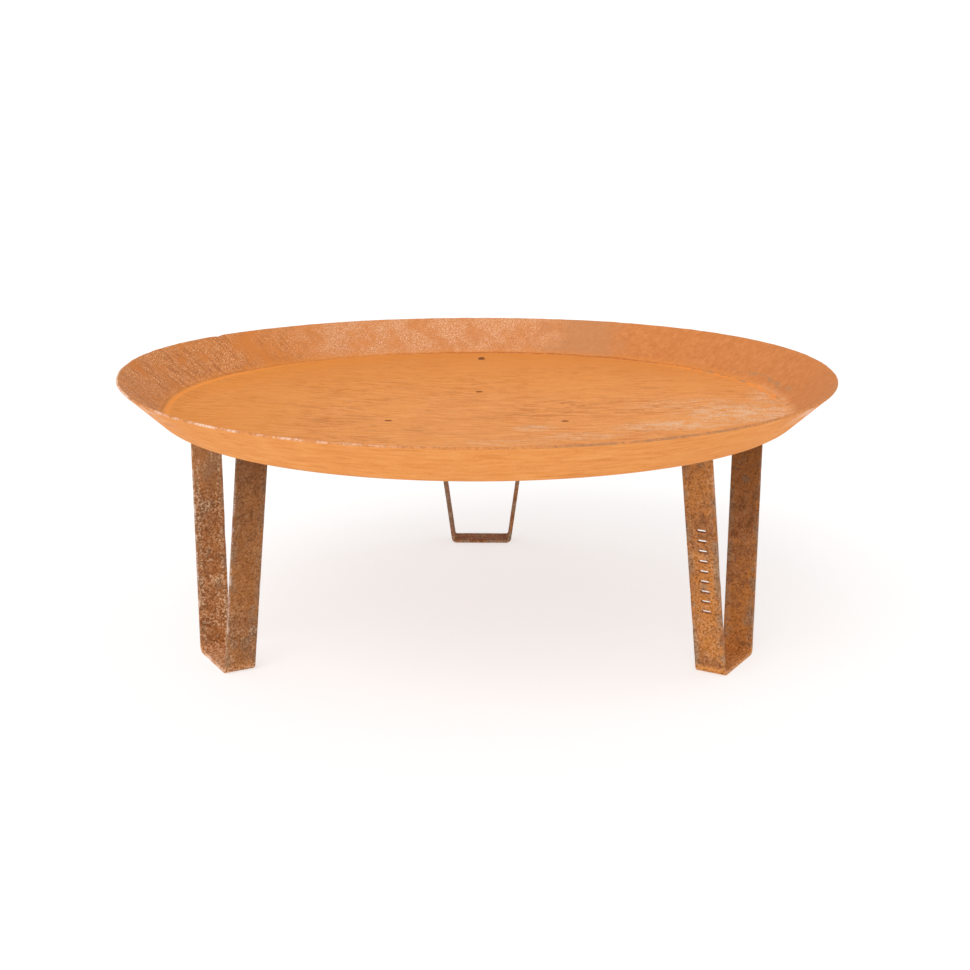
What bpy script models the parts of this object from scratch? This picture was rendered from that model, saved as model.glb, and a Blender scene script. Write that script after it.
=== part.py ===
"""Low round fire bowl in weathering steel, bolted to three legs bent from flat bar.

Metres, +Z up. The origin is on the ground under the centre of the bowl, and +Y
points to the rear leg. Pieces that touch on the real object keep FACE_GAP here.
"""
import math

import bmesh
import bpy
from mathutils import Matrix, Vector

# Overall sizes
OVERALL_HEIGHT = 0.350
RIM_DIAMETER = 0.950

# Bowl, pressed from one sheet; its floor is flat over the legs and dished inside them
SHEET_THICKNESS = 0.003
WALL_FLARE = 0.0545
WALL_HEIGHT = 0.0525
WALL_BEND_RADIUS = 0.020
FLAT_INSIDE_LEGS = 0.016
DISH_DEPTH = 0.012
DISH_POWER = 1.3
DRAIN_DIAMETER = 0.010
DRAIN_CIRCLE_DIAMETER = 0.268

# Legs, each one flat bar bent into a closed trapezium and welded shut
LEG_AZIMUTHS = {"rear": 90.0, "left": 210.0, "right": 330.0}
BAR_WIDTH = 0.040
BAR_THICKNESS = 0.005
BAR_INNER_BEND_RADIUS = 0.003
FOOT_LENGTH = 0.0944
LEG_TOP_LENGTH = 0.1736
LEG_INSET = 0.0445
LEG_SPLAY = 0.0135

# Decorative slots cut in the front strap of the right leg
SLOTTED_LEG = "right"
SLOT_COUNT = 9
SLOT_LENGTH = 0.013
SLOT_WIDTH = 0.004
SLOT_PITCH = 0.0135
SLOT_ROW_HEIGHT = 0.139

# One M6 button-head bolt, washer and nut for each leg
BOLT_DIAMETER = 0.006
BOLT_HEAD_DIAMETER = 0.0105
BOLT_HEAD_HEIGHT = 0.0026
BOLT_HEAD_RIM = 0.0007
BOLT_SOCKET_WIDTH = 0.004
BOLT_SOCKET_DEPTH = 0.0014
BOLT_END_BEYOND_NUT = 0.002
WASHER_DIAMETER = 0.012
WASHER_THICKNESS = 0.0016
NUT_WIDTH = 0.010
NUT_THICKNESS = 0.005

# Clearances
FACE_GAP = 0.0003
HOLE_CLEARANCE = 0.0004
CUT_OVERRUN = 0.004

# Facets
BOWL_STEPS = 96
FASTENER_STEPS = 24
HOLE_STEPS = 24
BEND_STEPS = 4
DISH_STEPS = 7
MERGE_DISTANCE = 0.00001

# Radii and heights that follow from the sizes above
FLOOR_RADIUS = RIM_DIAMETER / 2 - WALL_FLARE
LEG_TOP_RADIUS = FLOOR_RADIUS - LEG_INSET - BAR_WIDTH / 2
DISH_RADIUS = LEG_TOP_RADIUS - BAR_WIDTH / 2 - FLAT_INSIDE_LEGS
FLOOR_UNDERSIDE = OVERALL_HEIGHT - WALL_HEIGHT
FLOOR_TOP = FLOOR_UNDERSIDE + SHEET_THICKNESS
LEG_HEIGHT = FLOOR_UNDERSIDE - FACE_GAP
BAR_UNDERSIDE = LEG_HEIGHT - BAR_THICKNESS
WASHER_TOP = BAR_UNDERSIDE - FACE_GAP
NUT_TOP = WASHER_TOP - WASHER_THICKNESS - FACE_GAP
BOLT_HEAD_UNDERSIDE = FLOOR_TOP + FACE_GAP
BOLT_END = NUT_TOP - NUT_THICKNESS - BOLT_END_BEYOND_NUT
HOLE_DIAMETER = BOLT_DIAMETER + 2 * HOLE_CLEARANCE
STRAP_TILT = math.atan2((LEG_TOP_LENGTH - FOOT_LENGTH) / 2, LEG_HEIGHT)

QUARTER_TURN = math.radians(90)
HEXAGON_HALF_ANGLE = math.radians(30)


def clear_scene():
    for obj in list(bpy.data.objects):
        bpy.data.objects.remove(obj, do_unlink=True)


def make_collection(name):
    group = bpy.data.collections.new(name)
    bpy.context.scene.collection.children.link(group)
    return group


def make_material(name, colour, roughness, metallic):
    material = bpy.data.materials.new(name)
    material.use_nodes = True
    shader = material.node_tree.nodes["Principled BSDF"]
    shader.inputs["Base Color"].default_value = (*colour, 1.0)
    shader.inputs["Roughness"].default_value = roughness
    shader.inputs["Metallic"].default_value = metallic
    return material


def add_object(name, data, group, parent=None, material=None):
    """Link a new object; material is None for a cutter, which stays hidden."""
    obj = bpy.data.objects.new(name, data)
    group.objects.link(obj)
    obj.parent = parent
    if material:
        data.materials.append(material)
    else:
        obj.hide_render = True
        obj.display_type = "WIRE"
    return obj


def cut(piece, cutter):
    """Cut one mesh object from another."""
    modifier = piece.modifiers.new("cut_" + cutter.name, "BOOLEAN")
    modifier.operation = "DIFFERENCE"
    modifier.object = cutter


def turned(name, profile, closed, steps, group, parent=None, material=None):
    """Turn an (r, z) profile about Z, running outwards on top and down its outer side."""
    points = [(radius, 0, height) for radius, height in profile]
    edges = [(i, i + 1) for i in range(len(points) - 1)]
    if closed:
        edges.append((len(points) - 1, 0))
    mesh = bpy.data.meshes.new(name)
    mesh.from_pydata(points, edges, [])
    piece = add_object(name, mesh, group, parent, material)
    screw = piece.modifiers.new("turn", "SCREW")
    screw.steps = steps
    screw.render_steps = steps
    screw.use_merge_vertices = True
    screw.merge_threshold = MERGE_DISTANCE
    screw.use_smooth_shade = True
    return piece


def prism_mesh(name, sides, across_corners, height):
    """An upright prism standing on z = 0."""
    mesh = bpy.data.meshes.new(name)
    shape = bmesh.new()
    radius = across_corners / 2
    bmesh.ops.create_cone(shape, cap_ends=True, segments=sides, radius1=radius, radius2=radius,
                          depth=height, matrix=Matrix.Translation((0, 0, height / 2)))
    shape.to_mesh(mesh)
    shape.free()
    return mesh


def bent_loop(corners, radius, inset=0.0):
    """Points of a convex anticlockwise outline with round corners, moved inwards by inset."""
    points = []
    for i, corner in enumerate(corners):
        arriving = (corner - corners[i - 1]).normalized()
        leaving = (corners[(i + 1) % len(corners)] - corner).normalized()
        normal_in = Vector((-arriving.y, arriving.x))
        normal_out = Vector((-leaving.y, leaving.x))
        centre = corner + (normal_in + normal_out) * radius / (1 + normal_in.dot(normal_out))
        turn = arriving.angle(leaving)
        for step in range(BEND_STEPS + 1):
            normal = Matrix.Rotation(turn * step / BEND_STEPS, 2) @ normal_in
            points.append(centre - normal * (radius - inset))
    return points


def plate_mesh(name, loops, thickness):
    """A flat plate with the given outline and holes, as a welded mesh about z = 0."""
    curve = bpy.data.curves.new(name, "CURVE")
    curve.dimensions = "2D"
    curve.fill_mode = "BOTH"
    curve.extrude = thickness / 2
    for loop in loops:
        spline = curve.splines.new("POLY")
        spline.points.add(len(loop) - 1)
        for point, place in zip(spline.points, loop):
            point.co = (place.x, place.y, 0, 1)
        spline.use_cyclic_u = True
    guide = bpy.data.objects.new(name + "_outline", curve)
    bpy.context.scene.collection.objects.link(guide)
    evaluated = guide.evaluated_get(bpy.context.evaluated_depsgraph_get())
    mesh = bpy.data.meshes.new_from_object(evaluated)
    bpy.data.objects.remove(guide, do_unlink=True)
    shape = bmesh.new()
    shape.from_mesh(mesh)
    bmesh.ops.remove_doubles(shape, verts=shape.verts, dist=MERGE_DISTANCE)
    bmesh.ops.recalc_face_normals(shape, faces=shape.faces)
    shape.to_mesh(mesh)
    shape.free()
    return mesh


def splay_at(height):
    """How far out the middle of the bar stands at a height, past its place at the top."""
    return LEG_SPLAY * (1 - height / LEG_HEIGHT)


def bowl_surface():
    """The bowl's top face from the centre to the rim: (radius, height, lean of the normal)."""
    rise_angle = math.atan2(WALL_HEIGHT, WALL_FLARE)
    bend_start = FLOOR_RADIUS - (SHEET_THICKNESS + WALL_BEND_RADIUS) * math.tan(rise_angle / 2)
    surface = []
    for step in range(DISH_STEPS + 1):
        share = step / DISH_STEPS
        rest = 1 - share ** 2
        drop = DISH_DEPTH * rest ** DISH_POWER
        slope = 2 * DISH_POWER * DISH_DEPTH * share / DISH_RADIUS * rest ** (DISH_POWER - 1)
        surface.append((DISH_RADIUS * share, FLOOR_TOP - drop, math.atan(slope)))
    for step in range(BEND_STEPS + 1):
        angle = rise_angle * step / BEND_STEPS
        surface.append((bend_start + WALL_BEND_RADIUS * math.sin(angle),
                        FLOOR_TOP + WALL_BEND_RADIUS * (1 - math.cos(angle)), angle))
    rim_radius = RIM_DIAMETER / 2 - SHEET_THICKNESS * math.sin(rise_angle)
    surface.append((rim_radius, OVERALL_HEIGHT, rise_angle))
    return surface


def make_bowl(group, material):
    surface = bowl_surface()
    top = [(radius, height) for radius, height, angle in surface]
    underside = [(radius + SHEET_THICKNESS * math.sin(angle),
                  height - SHEET_THICKNESS * math.cos(angle))
                 for radius, height, angle in reversed(surface)]
    return turned("bowl", top + underside, False, BOWL_STEPS, group, material=material)


def leg_mesh(name):
    """A closed trapezium of flat bar, standing in the YZ plane and leaning out along X."""
    foot = FOOT_LENGTH / 2
    top = LEG_TOP_LENGTH / 2
    corners = [Vector((-foot, 0)), Vector((foot, 0)),
               Vector((top, LEG_HEIGHT)), Vector((-top, LEG_HEIGHT))]
    bend_radius = BAR_INNER_BEND_RADIUS + BAR_THICKNESS
    loops = [bent_loop(corners, bend_radius, inset) for inset in (0.0, BAR_THICKNESS)]
    mesh = plate_mesh(name, loops, BAR_WIDTH)
    mesh.transform(Matrix.Rotation(QUARTER_TURN, 4, "Z") @ Matrix.Rotation(QUARTER_TURN, 4, "X"))
    lean = Matrix.Translation((splay_at(0), 0, 0))
    lean[0][2] = -LEG_SPLAY / LEG_HEIGHT
    mesh.transform(lean)
    return mesh


def cut_slots(leg, group, parent):
    """A row of plain slots across the strap that faces the front of the bowl."""
    half_length = SLOT_LENGTH / 2
    half_width = SLOT_WIDTH / 2
    corners = [Vector((-half_length, -half_width)), Vector((half_length, -half_width)),
               Vector((half_length, half_width)), Vector((-half_length, half_width))]
    depth = BAR_THICKNESS + 2 * CUT_OVERRUN
    mesh = plate_mesh("slot", [bent_loop(corners, half_width)], depth)
    for number in range(SLOT_COUNT):
        along = (number - (SLOT_COUNT - 1) / 2) * SLOT_PITCH
        height = SLOT_ROW_HEIGHT + along * math.cos(STRAP_TILT)
        offset = FOOT_LENGTH / 2 - BAR_THICKNESS / 2 + height * math.tan(STRAP_TILT)
        cutter = add_object(f"slot_{number + 1}", mesh, group, parent)
        cutter.location = (LEG_TOP_RADIUS + splay_at(height), -offset, height)
        cutter.rotation_euler = (QUARTER_TURN + STRAP_TILT, 0, 0)
        cut(leg, cutter)


def make_drill(name, diameter, radius, bottom, top, group, parent):
    """A round cutter between two heights, at a radius from the bowl's axis."""
    drill = add_object(name, prism_mesh(name, HOLE_STEPS, diameter, top - bottom), group, parent)
    drill.location = (radius, 0, bottom)
    return drill


def make_bolt(place, group, cutters, parent, material):
    """A button-head bolt with its head on the bowl's floor."""
    head = BOLT_HEAD_DIAMETER / 2
    shank = BOLT_DIAMETER / 2
    length = BOLT_HEAD_UNDERSIDE - BOLT_END
    profile = []
    for step in range(BEND_STEPS + 1):
        angle = QUARTER_TURN * step / BEND_STEPS
        dome = (BOLT_HEAD_HEIGHT - BOLT_HEAD_RIM) * math.cos(angle)
        profile.append((head * math.sin(angle), BOLT_HEAD_RIM + dome))
    profile += [(head, 0), (shank, 0), (shank, -length), (0, -length)]
    bolt = turned(f"bolt_{place}", profile, False, FASTENER_STEPS, group, parent, material)
    bolt.location = (LEG_TOP_RADIUS, 0, BOLT_HEAD_UNDERSIDE)
    socket_corners = BOLT_SOCKET_WIDTH / math.cos(HEXAGON_HALF_ANGLE)
    socket = add_object(f"socket_{place}", prism_mesh("socket", 6, socket_corners, CUT_OVERRUN),
                        cutters, parent)
    socket.location = bolt.location
    socket.location.z += BOLT_HEAD_HEIGHT - BOLT_SOCKET_DEPTH
    cut(bolt, socket)


def make_washer(place, group, parent, material):
    outer = WASHER_DIAMETER / 2
    inner = HOLE_DIAMETER / 2
    profile = [(inner, 0), (outer, 0), (outer, -WASHER_THICKNESS), (inner, -WASHER_THICKNESS)]
    washer = turned(f"washer_{place}", profile, True, FASTENER_STEPS, group, parent, material)
    washer.location = (LEG_TOP_RADIUS, 0, WASHER_TOP)


def make_nut(place, group, cutters, parent, material):
    """A hexagon nut; its bore keeps FACE_GAP to the bolt where the thread would be."""
    corners = NUT_WIDTH / math.cos(HEXAGON_HALF_ANGLE)
    nut = add_object(f"nut_{place}", prism_mesh("nut", 6, corners, NUT_THICKNESS),
                     group, parent, material)
    bottom = NUT_TOP - NUT_THICKNESS
    nut.location = (LEG_TOP_RADIUS, 0, bottom)
    bore = make_drill(f"nut_bore_{place}", BOLT_DIAMETER + 2 * FACE_GAP, LEG_TOP_RADIUS,
                      bottom - CUT_OVERRUN, NUT_TOP + CUT_OVERRUN, cutters, parent)
    cut(nut, bore)


def make_leg_frame(place, group):
    """An empty on the bowl's axis, whose X axis points out to the leg."""
    frame = bpy.data.objects.new(f"frame_{place}", None)
    group.objects.link(frame)
    frame.rotation_euler = (0, 0, math.radians(LEG_AZIMUTHS[place]))
    return frame


def build():
    clear_scene()
    parts = make_collection("fire_pit")
    cutters = make_collection("cutters")
    bowl_rust = make_material("bowl_rust", (0.74, 0.31, 0.075), 0.80, 0.1)
    leg_rust = make_material("leg_rust", (0.24, 0.085, 0.028), 0.85, 0.1)
    fastener_rust = make_material("fastener_rust", (0.28, 0.10, 0.035), 0.75, 0.2)

    bowl = make_bowl(parts, bowl_rust)
    for place in LEG_AZIMUTHS:
        frame = make_leg_frame(place, cutters)
        leg = add_object(f"leg_{place}", leg_mesh(f"leg_{place}"), parts, frame, leg_rust)
        leg.location.x = LEG_TOP_RADIUS
        if place == SLOTTED_LEG:
            cut_slots(leg, cutters, frame)

        bolt_hole = make_drill(f"bolt_hole_{place}", HOLE_DIAMETER, LEG_TOP_RADIUS,
                               BAR_UNDERSIDE - CUT_OVERRUN, FLOOR_TOP + CUT_OVERRUN,
                               cutters, frame)
        cut(leg, bolt_hole)
        cut(bowl, bolt_hole)
        drain = make_drill(f"drain_{place}", DRAIN_DIAMETER, DRAIN_CIRCLE_DIAMETER / 2,
                           FLOOR_UNDERSIDE - DISH_DEPTH - CUT_OVERRUN, FLOOR_TOP + CUT_OVERRUN,
                           cutters, frame)
        cut(bowl, drain)

        make_bolt(place, parts, cutters, frame, fastener_rust)
        make_washer(place, parts, frame, fastener_rust)
        make_nut(place, parts, cutters, frame, fastener_rust)


build()
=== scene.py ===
"""Looks of the weathering-steel fire bowl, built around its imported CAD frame.

Metres, +Z up, the frame's own axes: +Y points to the rear leg and the camera stands at -Y.
"""

import math

import bmesh
import bpy
from mathutils import Matrix, Vector, noise


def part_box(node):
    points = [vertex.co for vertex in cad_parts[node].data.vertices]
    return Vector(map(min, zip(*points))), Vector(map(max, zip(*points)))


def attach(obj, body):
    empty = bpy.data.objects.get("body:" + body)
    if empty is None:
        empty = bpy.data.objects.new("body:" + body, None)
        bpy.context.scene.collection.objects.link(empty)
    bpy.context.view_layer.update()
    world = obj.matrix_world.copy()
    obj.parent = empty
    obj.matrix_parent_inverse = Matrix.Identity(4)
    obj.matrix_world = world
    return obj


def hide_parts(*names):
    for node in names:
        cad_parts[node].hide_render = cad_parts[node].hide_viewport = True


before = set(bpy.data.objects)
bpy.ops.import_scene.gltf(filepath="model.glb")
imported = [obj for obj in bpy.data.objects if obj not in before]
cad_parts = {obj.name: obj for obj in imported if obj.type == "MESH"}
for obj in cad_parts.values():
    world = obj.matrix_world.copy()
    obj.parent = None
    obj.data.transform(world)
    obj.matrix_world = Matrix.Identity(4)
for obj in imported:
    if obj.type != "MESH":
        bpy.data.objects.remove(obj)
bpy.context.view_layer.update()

# Sizes that the frame's boxes don't give, as the CAD model has them
SHEET = 0.003
WALL_FLARE = 0.0545
WALL_HEIGHT = 0.0525
WALL_BEND = 0.020
DISH_DEPTH = 0.012
DISH_POWER = 1.3
DRAIN_DIAMETER = 0.010
DRAIN_CIRCLE = 0.268
BAR_WIDTH = 0.040
BAR_THICKNESS = 0.005
BAR_BEND = 0.008
FOOT_LENGTH = 0.0944
LEG_TOP_LENGTH = 0.1736
LEG_SPLAY = 0.0135
FLAT_INSIDE_LEGS = 0.016
SLOT_COUNT = 9
SLOT_LENGTH = 0.013
SLOT_WIDTH = 0.004
SLOT_PITCH = 0.0135
SLOT_ROW_HEIGHT = 0.139
HOLE_DIAMETER = 0.0068
LEG_AZIMUTHS = {"rear": 90.0, "left": 210.0, "right": 330.0}
SLOTTED_LEG = "right"
BOLT_DIAMETER = 0.006
THREAD_PITCH = 0.001
THREAD_DEPTH = 0.0005
BOLT_HEAD_DIAMETER = 0.0105
BOLT_HEAD_HEIGHT = 0.0026
BOLT_HEAD_RIM = 0.0007
SOCKET_WIDTH = 0.004
SOCKET_DEPTH = 0.0014
NUT_WIDTH = 0.010

# Sizes read from the frame
BOWL_HIGH = Vector(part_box("bowl")[1])
LEG_LOW, LEG_HIGH = (Vector(corner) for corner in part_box("leg_rear"))
RIM_RADIUS = BOWL_HIGH.x
RIM_TOP = BOWL_HIGH.z
FLOOR_TOP = RIM_TOP - WALL_HEIGHT + SHEET
FLOOR_RADIUS = RIM_RADIUS - WALL_FLARE
LEG_HEIGHT = LEG_HIGH.z
LEG_TOP_RADIUS = LEG_LOW.y + BAR_WIDTH / 2
DISH_RADIUS = LEG_TOP_RADIUS - BAR_WIDTH / 2 - FLAT_INSIDE_LEGS
RISE = math.atan2(WALL_HEIGHT, WALL_FLARE)
STRAP_TILT = math.atan2((LEG_TOP_LENGTH - FOOT_LENGTH) / 2, LEG_HEIGHT)
BEND_START = FLOOR_RADIUS - (SHEET + WALL_BEND) * math.tan(RISE / 2)
BEND_END = BEND_START + WALL_BEND * math.sin(RISE)

# How finely the pieces are divided
BOWL_STEPS = 360
DISH_STEPS = 28
FLAT_STEPS = 10
BEND_STEPS = 12
WALL_STEPS = 10
EDGE_STEPS = 3
BAR_STATION = 0.005
BAR_BEND_STEPS = 8
BAR_WIDTH_STEPS = 9
HOLE_SIDES = 40
SLOT_SIDES = 28
FASTENER_STEPS = 72
THREAD_ROWS = 8
# Degrees by which a round cutter is turned
DRILL_TURN = 2.2

# Edges and wear
RIM_EDGE = 0.0009
BAR_EDGE = 0.0009
FASTENER_EDGE = 0.0002
# The sheet isn't quite true: how far parts of the wall stand up, by azimuth and width in degrees
WARPS = ((0.0052, 176.0, 38.0), (0.0014, 22.0, 30.0), (-0.0008, 90.0, 22.0))
WARP_FROM = 0.378
RIPPLE = 0.0007
SAG = 0.0006
DENT_AZIMUTH = 147.0
DENT_WIDTH = 0.007
DENT_DEPTH = 0.0015
DENT_REACH = 0.008
RIM_WOBBLE = 0.0004
# Pits in the bars: their depth, and how many there are to a metre
PITS = ((0.00016, 140.0), (0.00012, 45.0))
NICK_DEPTH = 0.0014
NICKS_PER_METRE = 38.0
NICK_THRESHOLD = 0.35
NICK_REACH = 0.0012
CONTACT_DEPTH = 0.0008

# Camera and light
CAMERA_PLACE = (0.0359, -2.0567, 0.7166)
CAMERA_DOWN = math.radians(14.44)
CAMERA_TURN = math.radians(0.72)
CAMERA_LENS = 57.4
SENSOR = 36.0
KEY_FROM = (-0.55, -1.0, 1.05)
KEY_STRENGTH = 1.35
KEY_SOFTNESS = 50.0
WORLD_HORIZON = 1.05
WORLD_ZENITH = 0.70
# The sky fades from its horizon's strength to its zenith's between these sines of elevation
WORLD_FADE = (0.05, 0.7)
STUDIO_FLOOR_SIZE = 30.0
STUDIO_FLOOR_DROP = 0.0004
STUDIO_FLOOR_COLOUR = (0.44, 0.44, 0.44)
FLOOR_GLOW = 0.62

# Colours in linear light; in a ramp, each stop's place on the ramp comes before its colour
FLOOR_RUST = ((0.28, (0.62, 0.195, 0.036)), (0.42, (0.745, 0.270, 0.062)),
              (0.56, (0.80, 0.312, 0.084)), (0.74, (0.86, 0.385, 0.130)))
THREAD_BROWN = (0.44, 0.122, 0.022)
FLOOR_PALE_SPECK = (0.90, 0.45, 0.17)
FLOOR_DARK_SPECK = (0.52, 0.155, 0.028)
CLOUD_YELLOW = (0.84, 0.33, 0.070)
FLOOR_BEHIND = (0.70, 0.230, 0.032)
FLOOR_LEFT = (0.74, 0.255, 0.033)
PATCH_BEIGE = (0.79, 0.47, 0.27)
PATCH_PALE_SPECK = (0.87, 0.64, 0.46)
PATCH_DARK_SPECK = (0.46, 0.20, 0.075)
WALL_RUST = ((0.30, (0.50, 0.165, 0.038)), (0.52, (0.59, 0.212, 0.058)), (0.72, (0.66, 0.270, 0.095)))
WALL_LEFT = (0.66, 0.225, 0.046)
WALL_PINK = ((0.36, (0.52, 0.190, 0.058)), (0.50, (0.66, 0.290, 0.118)),
             (0.58, (0.76, 0.410, 0.225)), (0.66, (0.90, 0.640, 0.460)))
WALL_TAN = (0.50, 0.240, 0.110)
WALL_SCALE = ((0.36, (0.42, 0.135, 0.034)), (0.50, (0.66, 0.245, 0.066)),
              (0.58, (0.80, 0.385, 0.155)), (0.66, (0.95, 0.680, 0.440)))
RUN_BROWN = (0.36, 0.110, 0.026)
BRUISE_BROWN = (0.44, 0.155, 0.040)
WALL_PALE_SPECK = (0.84, 0.52, 0.30)
WALL_DARK_SPECK = (0.36, 0.115, 0.030)
BAND_ORANGE = (0.86, 0.30, 0.050)
SEAM_BROWN = (0.42, 0.105, 0.022)
BAND_EDGE_BROWN = (0.42, 0.130, 0.027)
HIGHLIGHT_ORANGE = (0.86, 0.28, 0.045)
LINE_GREY = (0.35, 0.22, 0.11)
SOOT_BROWN = (0.17, 0.050, 0.014)
OUTSIDE_RUST = ((0.28, (0.62, 0.205, 0.038)), (0.42, (0.75, 0.272, 0.061)),
                (0.56, (0.80, 0.315, 0.078)), (0.74, (0.84, 0.375, 0.112)))
OUTSIDE_CLOUD = (0.71, 0.28, 0.085)
RUBBED_PINK = (0.86, 0.60, 0.48)
OUTSIDE_PALE_SPECK = (0.93, 0.55, 0.28)
OUTSIDE_DARK_SPECK = (0.48, 0.155, 0.032)
STAIN_BROWN = (0.46, 0.235, 0.125)
UNDERSIDE_RUST = ((0.30, (0.20, 0.070, 0.024)), (0.52, (0.38, 0.135, 0.040)), (0.72, (0.50, 0.215, 0.085)))
RIM_RUST = ((0.34, (0.47, 0.170, 0.050)), (0.6, (0.68, 0.260, 0.076)))
RIM_SHADOW_GREY = (0.33, 0.19, 0.10)
RIM_BEHIND = (0.30, 0.17, 0.10)
RIM_PALE = ((0.35, (0.74, 0.42, 0.27)), (0.62, (0.93, 0.75, 0.63)))
LEG_RUST = ((0.36, (0.225, 0.074, 0.020)), (0.50, (0.345, 0.125, 0.036)), (0.64, (0.43, 0.180, 0.066)))
LEG_ORANGE = (0.55, 0.195, 0.034)
LEG_ASH = (0.26, 0.180, 0.115)
FOOT_ORANGE = (0.66, 0.245, 0.040)
LEG_DARK_SPECK = (0.125, 0.041, 0.012)
LEG_PALE_SPECK = (0.84, 0.610, 0.400)
LEG_GRIT = (0.72, 0.42, 0.19)
CHIP_PINK = (0.74, 0.58, 0.50)
LOW_PINK = (0.80, 0.46, 0.28)
LEG_SHADE = (0.115, 0.046, 0.014)
LEG_PAINTED_LIGHT = (0.62, 0.330, 0.150)
FASTENER_RUST = ((0.34, (0.07, 0.022, 0.008)), (0.5, (0.19, 0.066, 0.020)), (0.68, (0.38, 0.16, 0.06)))
STUDIO_WHITE = (1.0, 0.99, 0.99, 1.0)

# Pale worn patches on the floor: centre, half sizes along X and Y, and strength
PALE_PATCHES = (((0.36, -0.06), (0.12, 0.080), 1.0), ((0.25, -0.125), (0.09, 0.045), 0.95),
                ((0.30, 0.01), (0.12, 0.050), 0.35), ((0.41, 0.05), (0.045, 0.09), 0.7),
                ((0.075, -0.11), (0.035, 0.030), 0.7), ((0.13, -0.175), (0.07, 0.035), 0.55),
                ((0.03, -0.21), (0.08, 0.030), 0.4), ((-0.05, -0.26), (0.12, 0.030), 0.4))
SOOT_REACH = 0.0006


class Shader:
    """A material's node tree, with one short call for each kind of node it needs."""

    def __init__(self, name):
        self.material = bpy.data.materials.new(name)
        self.material.use_nodes = True
        self.nodes = self.material.node_tree.nodes
        self.links = self.material.node_tree.links
        self.surface = self.nodes["Principled BSDF"]
        self.place = self.node("ShaderNodeTexCoord").outputs["Object"]

    def node(self, kind, **settings):
        made = self.nodes.new(kind)
        for key, value in settings.items():
            setattr(made, key, value)
        return made

    def feed(self, socket, value):
        if isinstance(value, bpy.types.NodeSocket):
            self.links.new(value, socket)
        elif isinstance(value, tuple) and len(value) == 3 and socket.type == "RGBA":
            socket.default_value = (*value, 1.0)
        else:
            socket.default_value = value

    def math(self, operation, first, second=0.0):
        made = self.node("ShaderNodeMath", operation=operation)
        self.feed(made.inputs[0], first)
        self.feed(made.inputs[1], second)
        return made.outputs[0]

    def product(self, *values):
        result = values[0]
        for value in values[1:]:
            result = self.math("MULTIPLY", result, value)
        return result

    def total(self, *values):
        result = values[0]
        for value in values[1:]:
            result = self.math("ADD", result, value)
        return result

    def mix(self, share, low, high):
        """Colour low, or high where share is 1."""
        made = self.node("ShaderNodeMix", data_type="RGBA")
        self.feed(made.inputs["Factor"], share)
        self.feed(made.inputs[6], low)
        self.feed(made.inputs[7], high)
        return made.outputs[2]

    def step(self, value, low, high, out_low=0.0, out_high=1.0):
        """A smooth step of value between low and high."""
        made = self.node("ShaderNodeMapRange", interpolation_type="SMOOTHSTEP")
        for socket, given in zip(made.inputs, (value, low, high, out_low, out_high)):
            self.feed(socket, given)
        return made.outputs[0]

    def vector(self, x, y, z):
        made = self.node("ShaderNodeCombineXYZ")
        for socket, given in zip(made.inputs, (x, y, z)):
            self.feed(socket, given)
        return made.outputs[0]

    def parts(self, vector):
        made = self.node("ShaderNodeSeparateXYZ")
        self.feed(made.inputs[0], vector)
        return made.outputs

    def stretched(self, vector, scale, shift=(0.0, 0.0, 0.0)):
        made = self.node("ShaderNodeMapping")
        self.feed(made.inputs["Vector"], vector)
        made.inputs["Scale"].default_value = scale
        made.inputs["Location"].default_value = shift
        return made.outputs[0]

    def noise(self, vector, scale, detail=3.0, roughness=0.55, distortion=0.0):
        made = self.node("ShaderNodeTexNoise")
        self.feed(made.inputs["Vector"], vector)
        made.inputs["Scale"].default_value = scale
        made.inputs["Detail"].default_value = detail
        made.inputs["Roughness"].default_value = roughness
        made.inputs["Distortion"].default_value = distortion
        return made.outputs[0]

    def ramp(self, value, *stops):
        """A colour ramp; each stop is its place and its colour."""
        made = self.node("ShaderNodeValToRGB")
        self.feed(made.inputs[0], value)
        band = made.color_ramp
        while len(band.elements) < len(stops):
            band.elements.new(0.5)
        for element, (position, colour) in zip(band.elements, stops):
            element.position = position
            element.color = (*colour, 1.0)
        return made.outputs[0]

    def bump(self, height, depth, strength):
        made = self.node("ShaderNodeBump")
        made.inputs["Strength"].default_value = strength
        made.inputs["Distance"].default_value = depth
        self.feed(made.inputs["Height"], height)
        return made.outputs[0]

    def turning(self, x, y):
        """The distance from the bowl's axis, and the cosine and sine of the azimuth."""
        radius = self.math("SQRT", self.total(self.product(x, x), self.product(y, y)))
        return radius, self.math("DIVIDE", x, radius), self.math("DIVIDE", y, radius)

    def ring(self, value, middle, half_width):
        """A soft line, 1 where value is middle."""
        return self.step(self.math("ABSOLUTE", self.math("SUBTRACT", value, middle)), half_width, 0.0)

    def blend(self, share, low, high):
        """Number low, or high where share is 1."""
        made = self.node("ShaderNodeMix", data_type="FLOAT")
        for socket, given in zip((made.inputs[0], made.inputs[2], made.inputs[3]), (share, low, high)):
            self.feed(socket, given)
        return made.outputs[0]

    def spot(self, x, y, centre, size, full=0.0):
        """A soft oval patch on the XY plane, 1 within full of the way from its centre."""
        across = self.math("DIVIDE", self.math("SUBTRACT", x, centre[0]), size[0])
        along = self.math("DIVIDE", self.math("SUBTRACT", y, centre[1]), size[1])
        distance = self.total(self.product(across, across), self.product(along, along))
        return self.step(distance, 1.0, full)

    def finish(self, colour, roughness, normal):
        self.feed(self.surface.inputs["Base Color"], colour)
        self.feed(self.surface.inputs["Roughness"], roughness)
        self.feed(self.surface.inputs["Normal"], normal)
        self.surface.inputs["Specular IOR Level"].default_value = 0.25
        return self.material


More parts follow.
